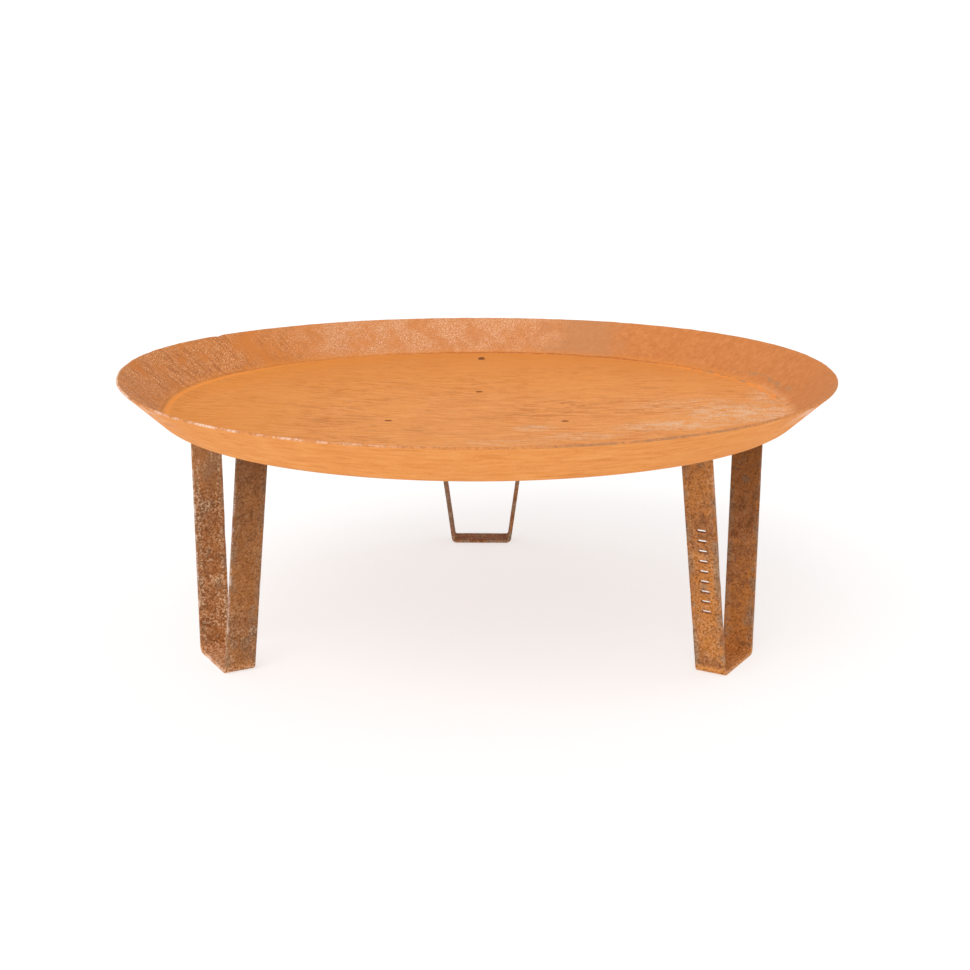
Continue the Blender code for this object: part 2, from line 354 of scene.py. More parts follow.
def bowl_inside_rust():
    """Orange rust: thready grain on the floor; scale, runs and fine pale specks on the wall."""
    s = Shader("bowl_inside_rust")
    x, y = s.parts(s.place)[:2]
    turned = s.turning(x, y)
    specks = s.noise(s.place, 560.0, detail=3.0, roughness=0.65)
    mottle = s.noise(s.place, 95.0, detail=6.0, roughness=0.74, distortion=0.2)
    floor, floor_height = floor_rust(s, x, y, specks)
    wall, wall_height, scaliness = wall_rust(s, turned, specks, mottle)
    bend = s.step(turned[0], BEND_START, BEND_END + 0.004)
    colour = bend_marks(s, s.mix(bend, floor, wall), turned, mottle)
    colour = hole_soot(s, colour, x, y)
    height = s.blend(s.product(bend, scaliness), floor_height, wall_height)
    return s.finish(colour, s.step(mottle, 0.3, 0.7, 0.74, 0.95), s.bump(height, 0.0007, 0.6))


def floor_rust(s, x, y, specks):
    """The floor's colour and height: thin dark threads along X, pale clouds and worn patches."""
    wave = s.noise(s.place, 4.0, detail=1.5)
    waved_y = s.total(y, s.product(x, 0.10), s.product(wave, 0.085))
    across_grain = s.product(waved_y, 105.0)
    grain = s.noise(s.vector(s.product(x, 24.0), across_grain, 0.0), 1.0,
                    detail=5.0, roughness=0.66, distortion=0.5)
    threads = s.noise(s.vector(s.product(x, 15.0), across_grain, 4.0), 1.0,
                      detail=2.5, roughness=0.55, distortion=0.3)
    thread = s.ring(threads, 0.5, 0.052)
    thread_areas = s.total(s.noise(s.place, 9.0, detail=3.0, roughness=0.6), s.product(x, -0.25))
    threaded = s.step(thread_areas, 0.36, 0.64, 0.20, 0.85)
    cloud = s.noise(s.place, 6.0, detail=4.0, roughness=0.6)
    colour = s.ramp(grain, *FLOOR_RUST)
    colour = s.mix(s.product(thread, threaded), colour, THREAD_BROWN)
    colour = s.mix(s.step(specks, 0.55, 0.66, 0.0, 0.45), colour, FLOOR_PALE_SPECK)
    colour = s.mix(s.step(specks, 0.45, 0.34, 0.0, 0.45), colour, FLOOR_DARK_SPECK)
    colour = s.mix(s.step(cloud, 0.42, 0.68, 0.0, 0.40), colour, CLOUD_YELLOW)
    colour = s.mix(s.step(y, -0.02, 0.40, 0.0, 0.72), colour, FLOOR_BEHIND)
    colour = s.mix(s.step(x, -0.10, -0.34, 0.0, 0.50), colour, FLOOR_LEFT)

    streaks = s.vector(s.product(x, 38.0), s.product(waved_y, 62.0), 9.0)
    streak = s.step(s.noise(streaks, 1.0, detail=6.0, roughness=0.78), 0.42, 0.58)
    pale = 0.0
    for centre, size, amount in PALE_PATCHES:
        pale = s.math("MAXIMUM", pale, s.product(s.spot(x, y, centre, size), amount))
    pale = s.product(pale, streak)
    colour = s.mix(s.product(pale, 0.60), colour, PATCH_BEIGE)
    colour = s.mix(s.product(pale, s.step(specks, 0.50, 0.62)), colour, PATCH_PALE_SPECK)
    colour = s.mix(s.product(pale, s.step(specks, 0.44, 0.36)), colour, PATCH_DARK_SPECK)
    height = s.total(s.product(grain, 0.6), s.product(specks, 0.3), s.product(thread, -0.15))
    return colour, height


def wall_rust(s, turned, specks, mottle):
    """The inner wall's colour, height and scaliness.

    The wall is brown and scaly at the left, pink and specked behind, tan and smooth to the right.
    """
    radius, around_x, around_y = turned
    patchy = s.noise(s.place, 24.0, detail=4.0, roughness=0.65)
    ragged = s.noise(s.place, 15.0, detail=4.0, roughness=0.65)
    ragged_x = s.total(around_x, s.product(ragged, 0.34), -0.17)
    rear = s.step(around_y, 0.0, 0.3)
    wall = s.ramp(mottle, *WALL_RUST)
    wall = s.mix(s.step(around_x, 0.0, -0.55, 0.0, 0.8), wall, WALL_LEFT)

    behind = s.product(s.step(ragged_x, -0.76, -0.46), s.step(ragged_x, 0.34, 0.16), rear)
    pink = s.ramp(specks, *WALL_PINK)
    wall = s.mix(s.product(behind, s.step(patchy, 0.38, 0.56, 0.35, 0.9)), wall, pink)
    tan = s.product(s.step(s.math("ABSOLUTE", s.total(ragged_x, -0.36)), 0.17, 0.05), rear)
    wall = s.mix(s.product(tan, 0.55), wall, WALL_TAN)

    slanted = s.total(around_y, s.product(radius, 0.7))
    down = s.vector(s.product(around_x, 60.0), s.product(slanted, 85.0), s.product(radius, 30.0))
    runs = s.noise(down, 1.0, detail=4.0, roughness=0.7, distortion=0.6)
    scale = s.ramp(specks, *WALL_SCALE)
    scale = s.mix(s.step(runs, 0.50, 0.40, 0.0, 0.65), scale, RUN_BROWN)
    first = s.step(ragged_x, -0.76, -0.86)
    second = s.step(s.math("ABSOLUTE", s.total(ragged_x, 0.69)), 0.08, 0.03)
    scaly = s.product(s.math("MAXIMUM", first, s.product(second, 0.6)), s.step(patchy, 0.35, 0.50))
    wall = s.mix(s.product(scaly, 0.9), wall, scale)
    blotches = s.step(s.noise(s.place, 34.0, detail=5.0, roughness=0.75), 0.50, 0.62)
    bruise = s.product(blotches, s.step(around_x, -0.35, -0.7))
    wall = s.mix(s.product(bruise, 0.28), wall, BRUISE_BROWN)
    wall = s.mix(s.step(specks, 0.62, 0.72, 0.0, 0.35), wall, WALL_PALE_SPECK)
    wall = s.mix(s.step(specks, 0.40, 0.30, 0.0, 0.45), wall, WALL_DARK_SPECK)
    height = s.total(s.product(specks, 0.8), s.product(runs, 0.7))
    return wall, height, s.math("MAXIMUM", scaly, s.product(behind, 0.5))


def bend_marks(s, colour, turned, mottle):
    """The bend: a clean bright band at the left, a thin dark seam behind, and at the right a painted
    highlight along the bend's ridge with grey lines by it.
    """
    radius, around_x, around_y = turned
    wander = s.noise(s.place, 40.0, detail=4.0, roughness=0.7)
    ragged = s.total(radius, s.product(wander, 0.010), -0.005)
    leftward = s.step(around_x, -0.62, -0.86)
    band = s.product(s.ring(radius, BEND_START + 0.001, 0.006), leftward, 0.9)
    colour = s.mix(band, colour, BAND_ORANGE)

    seam = s.product(s.ring(ragged, BEND_START + 0.006, 0.004), s.step(around_y, 0.25, 0.55))
    seam = s.product(seam, s.step(around_x, -0.55, 0.05, 0.35, 0.8), s.step(mottle, 0.36, 0.56, 0.1, 1.0))
    colour = s.mix(seam, colour, SEAM_BROWN)
    edge = s.product(s.ring(ragged, BEND_START + 0.008, 0.003), leftward)
    broken = s.step(s.noise(s.place, 26.0, detail=4.0, roughness=0.7), 0.44, 0.56)
    colour = s.mix(s.product(edge, s.total(s.product(broken, 0.3), 0.2)), colour, BAND_EDGE_BROWN)

    rightward = s.product(s.step(around_x, 0.55, 0.75), s.step(around_y, -0.05, 0.15))
    # A painted highlight along the bend's ridge at the right
    glow = s.product(s.ring(ragged, BEND_START + 0.002, 0.008), rightward)
    colour = s.mix(s.product(glow, 0.85), colour, HIGHLIGHT_ORANGE)
    wavy = s.noise(s.place, 17.0, detail=5.0, roughness=0.7)
    wavy = s.total(radius, s.product(wavy, 0.022), -0.011)
    upper_line = s.product(s.ring(wavy, BEND_END + 0.005, 0.004), s.step(around_x, 0.84, 0.92))
    lines = s.math("MAXIMUM", s.ring(ragged, BEND_START + 0.004, 0.004), upper_line)
    return s.mix(s.product(lines, broken, rightward, 0.75), colour, LINE_GREY)


def hole_soot(s, colour, x, y):
    """Dark, sooty edges round the drain and bolt holes."""
    soot = 0.0
    for azimuth in LEG_AZIMUTHS.values():
        for circle, diameter in ((DRAIN_CIRCLE / 2, DRAIN_DIAMETER), (LEG_TOP_RADIUS, HOLE_DIAMETER)):
            centre = polar(circle, azimuth, 0)
            reach = diameter / 2 + SOOT_REACH
            soot = s.math("MAXIMUM", soot, s.spot(x, y, centre[:2], (reach, reach), 0.7))
    return s.mix(s.product(soot, 0.9), colour, SOOT_BROWN)


def bowl_outside_rust():
    """The flared outside, streaked round the bowl, and a duller, browner underside."""
    s = Shader("bowl_outside_rust")
    x, y, z = s.parts(s.place)
    radius, around_x, around_y = s.turning(x, y)
    rings = s.vector(s.product(around_x, 12.0), s.product(around_y, 12.0), s.product(z, 260.0))
    grain = s.noise(rings, 1.0, detail=5.0, roughness=0.66, distortion=0.5)
    specks = s.noise(s.place, 430.0, detail=2.0, roughness=0.6)
    cloud = s.noise(s.place, 8.0, detail=4.0, roughness=0.6)
    colour = s.ramp(grain, *OUTSIDE_RUST)
    colour = s.mix(s.step(cloud, 0.45, 0.7, 0.0, 0.4), colour, OUTSIDE_CLOUD)

    # Pale rubbed stretches under the rim, at the left and right ends
    streaks = s.noise(s.stretched(s.place, (26.0, 26.0, 80.0)), 1.0, detail=5.0, roughness=0.75)
    left = s.product(s.step(around_x, -0.72, -0.88), s.step(z, RIM_TOP - 0.030, RIM_TOP - 0.006), 0.58)
    right = s.product(s.ring(around_x, 0.88, 0.10), s.step(z, RIM_TOP - 0.030, RIM_TOP - 0.008),
                      s.step(y, 0.0, -0.05))
    rubbed = s.product(s.math("MAXIMUM", left, right), s.step(streaks, 0.38, 0.54))
    colour = s.mix(s.product(rubbed, 0.85), colour, RUBBED_PINK)
    colour = s.mix(s.step(specks, 0.62, 0.74, 0.0, 0.3), colour, OUTSIDE_PALE_SPECK)
    colour = s.mix(s.step(specks, 0.38, 0.28, 0.0, 0.3), colour, OUTSIDE_DARK_SPECK)

    # Brown-grey stains where water hangs under the front edge
    stained = s.step(s.noise(s.place, 13.0, detail=4.0, roughness=0.7), 0.44, 0.58)
    low = s.step(s.total(z, s.product(cloud, 0.006)), FLOOR_TOP + 0.006, FLOOR_TOP - 0.001)
    hanging = s.product(low, s.step(around_y, -0.45, -0.80), stained)
    colour = s.mix(s.product(hanging, 0.6), colour, STAIN_BROWN)

    under = s.ramp(s.noise(s.place, 70.0, detail=5.0, roughness=0.7), *UNDERSIDE_RUST)
    colour = s.mix(s.step(radius, FLOOR_RADIUS - 0.001, FLOOR_RADIUS - 0.020), colour, under)
    height = s.total(s.product(grain, 0.6), s.product(specks, 0.4))
    return s.finish(colour, s.step(cloud, 0.3, 0.7, 0.76, 0.95), s.bump(height, 0.0006, 0.5))


def rim_rust():
    """The cut edge: rubbed pale in broken stretches at the left and front left, with a painted shadow line
    in dark grey at the front right.
    """
    s = Shader("rim_rust")
    x, y = s.parts(s.place)[:2]
    rub = s.noise(s.place, 21.0, detail=6.0, roughness=0.8)
    chip = s.noise(s.place, 300.0, detail=2.0, roughness=0.6)
    base = s.ramp(chip, *RIM_RUST)
    # A painted shadow line, dark grey and broken, along the rim at the front right
    grey = s.product(s.step(x, 0.05, 0.13), s.step(x, 0.38, 0.28), s.step(y, 0.10, -0.05),
                     s.step(rub, 0.38, 0.54))
    base = s.mix(s.product(grey, 0.50), base, RIM_SHADOW_GREY)
    behind = s.step(y, -0.02, 0.12)
    base = s.mix(s.product(behind, s.step(rub, 0.50, 0.60), 0.7), base, RIM_BEHIND)
    tip = s.step(x, -0.40, -0.45)
    front = s.product(s.step(y, 0.0, -0.10), s.step(x, -0.02, -0.22), s.step(rub, 0.46, 0.58))
    worn = s.math("MAXIMUM", s.product(tip, s.step(rub, 0.36, 0.50), 0.75), s.product(front, 0.65))
    return s.finish(s.mix(worn, base, s.ramp(chip, *RIM_PALE)), 0.8, s.bump(chip, 0.0004, 0.6))


def leg_rust(name, glow, paleness, ashen, shift, middle):
    """Brown, flaky, specked rust.

    glow is how orange the leg is, paleness how worn and ashen how grey. shift moves the pattern, so
    that the legs differ. The strap past x = middle gets painted shade, most of all at the top, and
    fewer pale flecks; the top of the other strap gets painted light.
    """
    s = Shader(name)
    parts = s.parts(s.place)
    x, z = parts["X"], parts["Z"]
    across = s.parts(s.node("ShaderNodeUVMap", uv_map="bar").outputs[0])[1]
    side = s.math("ABSOLUTE", across)
    moved = s.stretched(s.place, (1.0, 1.0, 1.0), shift)
    specks = s.noise(moved, 330.0, detail=6.0, roughness=0.72)
    grit = s.noise(moved, 640.0, detail=3.0, roughness=0.65)
    blotch = s.noise(moved, 95.0, detail=5.0, roughness=0.7)
    cloud = s.noise(moved, 19.0, detail=5.0, roughness=0.7)
    second = s.step(x, middle - 0.01, middle + 0.01)

    # The ground: brown blotches, orange clouds, grey patches and an orange foot
    colour = s.ramp(blotch, *LEG_RUST)
    colour = s.mix(s.product(s.step(cloud, 0.42, 0.56), glow), colour, LEG_ORANGE)
    ash = s.noise(s.stretched(moved, (1.0, 1.0, 0.6), (5.0, 2.0, 1.0)), 30.0, detail=6.0, roughness=0.75)
    edge_ash = s.product(s.step(side, BAR_WIDTH / 2 - 0.010, BAR_WIDTH / 2 - 0.002),
                         s.step(s.noise(moved, 27.0, detail=5.0, roughness=0.75), 0.46, 0.57))
    ash = s.math("MAXIMUM", s.step(ash, 0.54, 0.64), edge_ash)
    colour = s.mix(s.product(ash, ashen), colour, LEG_ASH)
    colour = s.mix(s.product(s.step(z, 0.013, 0.007), glow), colour, FOOT_ORANGE)
    colour = s.mix(s.step(specks, 0.50, 0.38, 0.0, 0.75), colour, LEG_DARK_SPECK)

    # Pale flecks where it is worn, a little inside the edges and near the foot
    scuffed = s.step(s.noise(moved, 23.0, detail=5.0, roughness=0.72), 0.46, 0.60, 0.12, 1.0)
    ragged_side = s.total(side, s.product(blotch, 0.010), -0.005)
    inset = s.product(s.ring(ragged_side, BAR_WIDTH / 2 - 0.006, 0.005), 0.8)
    # The second strap gets fewer pale flecks, which darkens it along with its painted shade
    fewer_flecks = s.math("MAXIMUM", s.step(second, 0.0, 1.0, 1.0, 0.22), s.step(z, 0.13, 0.03, 0.0, 0.70))
    worn = s.product(s.math("MAXIMUM", scuffed, inset), paleness, fewer_flecks)
    colour = s.mix(s.product(s.step(specks, 0.50, 0.60), worn), colour, LEG_PALE_SPECK)
    gritty = s.total(s.product(worn, 0.6), s.product(second, 0.18), 0.3)
    colour = s.mix(s.product(s.step(grit, 0.57, 0.66), gritty), colour, LEG_GRIT)
    edge = s.step(side, BAR_WIDTH / 2 - 0.0022, BAR_WIDTH / 2 - 0.0002)
    chips = s.noise(moved, 48.0, detail=6.0, roughness=0.8)
    chipped = s.product(s.step(chips, 0.48, 0.58), s.step(grit, 0.40, 0.52))
    colour = s.mix(s.product(edge, chipped, paleness), colour, CHIP_PINK)
    low = s.product(s.step(z, 0.011, 0.006), s.step(specks, 0.44, 0.56), paleness)
    colour = s.mix(s.product(low, 0.6), colour, LOW_PINK)

    # Painted shade down the second strap, painted light at the top of the first
    # Painted shade: LEG_SHADE is mixed in, strongest near the top under the bowl
    painted_shade = s.step(z, LEG_HEIGHT - 0.17, LEG_HEIGHT - 0.04, 0.6 * paleness, 1.0)
    colour = s.mix(s.product(painted_shade, second, 0.47), colour, LEG_SHADE)
    first = s.total(s.product(second, -1.0), 1.0)
    # Painted light: the top of the first strap is made paler, as if lit from the left
    bright = s.product(s.step(z, LEG_HEIGHT - 0.11, LEG_HEIGHT - 0.04), first)
    colour = s.mix(s.product(bright, 0.30 * paleness), colour, LEG_PAINTED_LIGHT)
    height = s.total(s.product(specks, 0.8), s.product(blotch, 0.9), s.product(grit, 0.3))
    return s.finish(colour, s.step(specks, 0.3, 0.7, 0.95, 0.74), s.bump(height, 0.0009, 0.7))


def fastener_rust():
    """Dark brown rust on the bolts, washers and nuts."""
    s = Shader("fastener_rust")
    specks = s.noise(s.place, 900.0, detail=3.0, roughness=0.7)
    return s.finish(s.ramp(specks, *FASTENER_RUST), 0.85, s.bump(specks, 0.0002, 0.7))


def polar(radius, azimuth, height):
    angle = math.radians(azimuth)
    return Vector((radius * math.cos(angle), radius * math.sin(angle), height))


def link(obj):
    bpy.context.scene.collection.objects.link(obj)
    return obj


def dish_point(share):
    """Radius, height and lean of the floor's dish, at a share of its radius."""
    rest = 1 - share ** 2
    slope = 2 * DISH_POWER * DISH_DEPTH * share / DISH_RADIUS * rest ** (DISH_POWER - 1)
    return DISH_RADIUS * share, FLOOR_TOP - DISH_DEPTH * rest ** DISH_POWER, math.atan(slope)


def bowl_profile():
    """The bowl's top face from the centre to the rim: (radius, height, lean)."""
    points = [dish_point(step / DISH_STEPS) for step in range(1, DISH_STEPS + 1)]
    for step in range(1, FLAT_STEPS):
        points.append((DISH_RADIUS + (BEND_START - DISH_RADIUS) * step / FLAT_STEPS, FLOOR_TOP, 0.0))
    for step in range(BEND_STEPS + 1):
        angle = RISE * step / BEND_STEPS
        points.append((BEND_START + WALL_BEND * math.sin(angle),
                       FLOOR_TOP + WALL_BEND * (1 - math.cos(angle)), angle))
    bend_top = points[-1]
    rim = (RIM_RADIUS - SHEET * math.sin(RISE), RIM_TOP)
    for step in range(1, WALL_STEPS + 1):
        share = step / WALL_STEPS
        points.append((bend_top[0] + (rim[0] - bend_top[0]) * share,
                       bend_top[1] + (rim[1] - bend_top[1]) * share, RISE))
    return points


def away(azimuth, centre):
    """Degrees between two azimuths, from -180 to 180."""
    return (azimuth - centre + 180) % 360 - 180


def unevenness(point, per_metre, seed):
    """Smooth noise over the plan, from -1 to 1."""
    return noise.noise(Vector((point.x * per_metre, point.y * per_metre, seed)))


def settle(point):
    """Move a point of the ideal bowl to where the real, hand-finished sheet has it."""
    radius = math.hypot(point.x, point.y)
    azimuth = math.degrees(math.atan2(point.y, point.x))
    share = min(max((radius - WARP_FROM) / (FLOOR_RADIUS - WARP_FROM), 0.0), 1.0)
    share = share * share * (3 - 2 * share)
    lift = sum(size * math.exp(-(away(azimuth, centre) / width) ** 2) for size, centre, width in WARPS)
    ripple = RIPPLE * unevenness(point, 7, 3.0) * share
    # The floor stays true over the legs' top bars
    sag = SAG * unevenness(point, 5, 8.0) * max(0.0, 1 - (radius / DISH_RADIUS) ** 2)
    near_rim = min(max((point.z - (RIM_TOP - DENT_REACH)) / DENT_REACH, 0.0), 1.0)
    off = math.radians(away(azimuth, DENT_AZIMUTH)) * RIM_RADIUS
    dent = DENT_DEPTH * near_rim * math.exp(-(off / DENT_WIDTH) ** 2)
    edge = RIM_WOBBLE * near_rim * unevenness(point, 60, 1.0)
    scale = 1 + (ripple - dent * 0.4 + edge) / max(radius, 0.05)
    return Vector((point.x * scale, point.y * scale, point.z + lift * share + sag - dent + edge))


def rim_edge(tip):
    """The rounded cut edge of the sheet, from its inside to its outside."""
    up = Vector((math.cos(RISE), math.sin(RISE)))
    out = Vector((math.sin(RISE), -math.cos(RISE)))
    points = []
    for side, depth in ((0, RIM_EDGE), (1, SHEET - RIM_EDGE)):
        centre = tip - up * RIM_EDGE + out * depth
        for step in range(EDGE_STEPS + 1):
            angle = math.radians(90) * (step / EDGE_STEPS + side)
            points.append(centre + RIM_EDGE * (up * math.sin(angle) - out * math.cos(angle)))
    return [(point.x, point.y) for point in points]


def lathe(rows, slots, steps, centres=None):
    """A closed turned mesh; slots gives each row's material, centres the heights of its two ends.

    Without centres the rows are a closed section round a hole.
    """
    shape = bmesh.new()
    rings = []
    for radius, height in rows:
        rings.append([shape.verts.new((radius * math.cos(a), radius * math.sin(a), height))
                      for a in (2 * math.pi * k / steps for k in range(steps))])
    following_rings = rings[1:] if centres else rings[1:] + rings[:1]
    for ring, following, slot in zip(rings, following_rings, slots):
        for k in range(steps):
            face = shape.faces.new((ring[k - 1], following[k - 1], following[k], ring[k]))
            face.material_index = slot
    ends = zip((rings[0], rings[-1]), centres, (slots[0], slots[-1])) if centres else ()
    for ring, height, slot in ends:
        middle = shape.verts.new((0, 0, height))
        for k in range(steps):
            face = shape.faces.new((middle, ring[k - 1], ring[k]))
            face.material_index = slot
    bmesh.ops.recalc_face_normals(shape, faces=shape.faces)
    return shape


def to_object(name, shape, materials):
    mesh = bpy.data.meshes.new(name)
    shape.to_mesh(mesh)
    shape.free()
    for material in materials:
        mesh.materials.append(material)
    mesh.shade_smooth()
    return link(bpy.data.objects.new(name, mesh))


def stand_in(piece, node):
    """Show piece for a CAD node; every piece rides on the one body."""
    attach(piece, "root")
    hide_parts(node)
    return piece


def carve(piece, cutters, sharp=35.0):
    """Cut every cutter from the piece, then drop the cutters."""
    for number, cutter in enumerate(cutters):
        modifier = piece.modifiers.new(f"cut_{number}", "BOOLEAN")
        modifier.operation = "DIFFERENCE"
        modifier.object = cutter
    evaluated = piece.evaluated_get(bpy.context.evaluated_depsgraph_get())
    mesh = bpy.data.meshes.new_from_object(evaluated, preserve_all_data_layers=True,
                                           depsgraph=bpy.context.evaluated_depsgraph_get())
    piece.modifiers.clear()
    piece.data = mesh
    mesh.set_sharp_from_angle(angle=math.radians(sharp))
    for cutter in cutters:
        bpy.data.objects.remove(cutter, do_unlink=True)


def drill(diameter, place, length, sides=HOLE_SIDES):
    """A cutter turned a little, so that its edges don't fall on the edges of what it cuts."""
    shape = bmesh.new()
    bmesh.ops.create_cone(shape, cap_ends=True, segments=sides, radius1=diameter / 2,
                          radius2=diameter / 2, depth=length)
    cutter = to_object("drill", shape, [])
    cutter.location = place
    cutter.rotation_euler.z = math.radians(DRILL_TURN)
    return cutter


def make_bowl(inside, outside, rim):
    profile = bowl_profile()
    tip = Vector(profile[-1][:2])
    inner = [(radius, height) for radius, height, lean in profile[:-1]]
    outer = [(radius + SHEET * math.sin(lean), height - SHEET * math.cos(lean))
             for radius, height, lean in reversed(profile[:-1])]
    edge = rim_edge(tip)
    slots = [0] * len(inner) + [2] * (len(edge) - 1) + [1] * len(outer)
    middle = dish_point(0)[1]
    shape = lathe(inner + edge + outer, slots, BOWL_STEPS, (middle, middle - SHEET))
    for vert in shape.verts:
        vert.co = settle(vert.co)
    bowl = to_object("fire_bowl", shape, [inside, outside, rim])
    cutters = []
    for azimuth in LEG_AZIMUTHS.values():
        drain_place = polar(DRAIN_CIRCLE / 2, azimuth, FLOOR_TOP - DISH_DEPTH)
        cutters.append(drill(DRAIN_DIAMETER, drain_place, 0.04))
        cutters.append(drill(HOLE_DIAMETER, polar(LEG_TOP_RADIUS, azimuth, FLOOR_TOP), 0.02))
    carve(bowl, cutters)
    return stand_in(bowl, "bowl")


def leg_stations():
    """Points round the outside of the bent bar in its own plane: (place, inward normal)."""
    foot, top = FOOT_LENGTH / 2, LEG_TOP_LENGTH / 2
    corners = [Vector((-foot, 0)), Vector((foot, 0)),
               Vector((top, LEG_HEIGHT)), Vector((-top, LEG_HEIGHT))]
    stations = []
    for i, corner in enumerate(corners):
        arriving = (corner - corners[i - 1]).normalized()
        leaving = (corners[(i + 1) % 4] - corner).normalized()
        first = Vector((-arriving.y, arriving.x))
        second = Vector((-leaving.y, leaving.x))
        centre = corner + (first + second) * BAR_BEND / (1 + first.dot(second))
        turn = arriving.angle(leaving)
        for step in range(BAR_BEND_STEPS + 1):
            normal = Matrix.Rotation(turn * step / BAR_BEND_STEPS, 2) @ first
            stations.append((centre - normal * BAR_BEND, normal))
    loop = []
    for (place, normal), (next_place, next_normal) in zip(stations, stations[1:] + stations[:1]):
        straight = normal.dot(next_normal) > 0.9999
        pieces = max(1, round((next_place - place).length / BAR_STATION)) if straight else 1
        for piece in range(pieces):
            loop.append((place.lerp(next_place, piece / pieces), normal))
    return loop


def bar_section():
    """Points round the bar's section: (across its width, in from its outer face)."""
    half = BAR_WIDTH / 2 - BAR_EDGE
    deep = BAR_THICKNESS - BAR_EDGE
    points = []
    corners = ((half, BAR_EDGE, -90), (half, deep, 0), (-half, deep, 90), (-half, BAR_EDGE, 180))
    for across, depth, start in corners:
        for step in range(EDGE_STEPS + 1):
            angle = math.radians(start + 90 * step / EDGE_STEPS)
            points.append((across + BAR_EDGE * math.cos(angle), depth + BAR_EDGE * math.sin(angle)))
    section = []
    for (a, d), (next_a, next_d) in zip(points, points[1:] + points[:1]):
        pieces = BAR_WIDTH_STEPS if abs(next_a - a) > BAR_WIDTH / 2 else 1
        for k in range(pieces):
            section.append((a + (next_a - a) * k / pieces, d + (next_d - d) * k / pieces))
    return section


def bar_point(station, normal, across, depth, seed):
    """A point of a leg that stands along X: soft pits in its faces and nicks in its edges."""
    spot = station + normal * depth
    lean = LEG_SPLAY * (1 - spot.y / LEG_HEIGHT)
    point = Vector((LEG_TOP_RADIUS + lean + across, spot.x, spot.y))
    pit = sum(size * noise.noise(point * per_metre + seed) for size, per_metre in PITS)
    nick = max(0.0, noise.noise(point * NICKS_PER_METRE + seed * 2) - NICK_THRESHOLD) * NICK_DEPTH
    edge_share = max(0.0, abs(across) - (BAR_WIDTH / 2 - NICK_REACH)) / NICK_REACH
    point.x -= math.copysign(nick * edge_share, across)
    touching = point.z < CONTACT_DEPTH or point.z > LEG_HEIGHT - CONTACT_DEPTH
    return point if touching else point + Vector((0, normal.x, normal.y)) * pit


def make_leg(place, material):
    """One bent bar with soft rolled edges, pitted faces and a few nicks along its edges."""
    azimuth = LEG_AZIMUTHS[place]
    turn = Matrix.Rotation(math.radians(azimuth), 3, "Z")
    seed = Vector((azimuth, 0, 0))
    section = bar_section()
    shape = bmesh.new()
    uv_layer = shape.loops.layers.uv.new("bar")
    rings = [[shape.verts.new(turn @ bar_point(station, normal, across, depth, seed))
              for across, depth in section] for station, normal in leg_stations()]
    for i, ring in enumerate(rings):
        following = rings[(i + 1) % len(rings)]
        for k in range(len(section)):
            other = (k + 1) % len(section)
            face = shape.faces.new((ring[k], ring[other], following[other], following[k]))
            corners = ((i, k), (i, other), (i + 1, other), (i + 1, k))
            for corner, (row, column) in zip(face.loops, corners):
                corner[uv_layer].uv = (row * BAR_STATION, section[column][0])
    bmesh.ops.recalc_face_normals(shape, faces=shape.faces)
    leg = to_object(f"bent_leg_{place}", shape, [material])
    cutters = [drill(HOLE_DIAMETER, polar(LEG_TOP_RADIUS, azimuth, LEG_HEIGHT - BAR_THICKNESS / 2), 0.02)]
    if place == SLOTTED_LEG:
        cutters += slot_cutters(azimuth)
    carve(leg, cutters, 50.0)
    return stand_in(leg, f"leg_{place}")


def slot_cutters(azimuth):
    """Round-ended cutters across the strap that faces the camera."""
    cutters = []
    for number in range(SLOT_COUNT):
        along = (number - (SLOT_COUNT - 1) / 2) * SLOT_PITCH
        height = SLOT_ROW_HEIGHT + along * math.cos(STRAP_TILT)
        offset = FOOT_LENGTH / 2 - BAR_THICKNESS / 2 + height * math.tan(STRAP_TILT)
        shape = bmesh.new()
        bmesh.ops.create_cone(shape, cap_ends=True, segments=SLOT_SIDES, radius1=SLOT_WIDTH / 2,
                              radius2=SLOT_WIDTH / 2, depth=2 * BAR_THICKNESS + SLOT_WIDTH)
        for vert in shape.verts:
            vert.co.x += math.copysign((SLOT_LENGTH - SLOT_WIDTH) / 2, vert.co.x)
        cutter = to_object("slot", shape, [])
        lean = LEG_SPLAY * (1 - height / LEG_HEIGHT)
        cutter.matrix_world = (Matrix.Rotation(math.radians(azimuth), 4, "Z")
                               @ Matrix.Translation((LEG_TOP_RADIUS + lean, -offset, height))
                               @ Matrix.Rotation(math.radians(90) + STRAP_TILT, 4, "X"))
        cutters.append(cutter)
    return cutters


def axis_box(node):
    """The middle of a fastener's underside, its height and its radius along X."""
    low, high = (Vector(corner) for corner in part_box(node))
    middle = (low + high) / 2
    return Vector((middle.x, middle.y, low.z)), high.z - low.z, (high.x - low.x) / 2


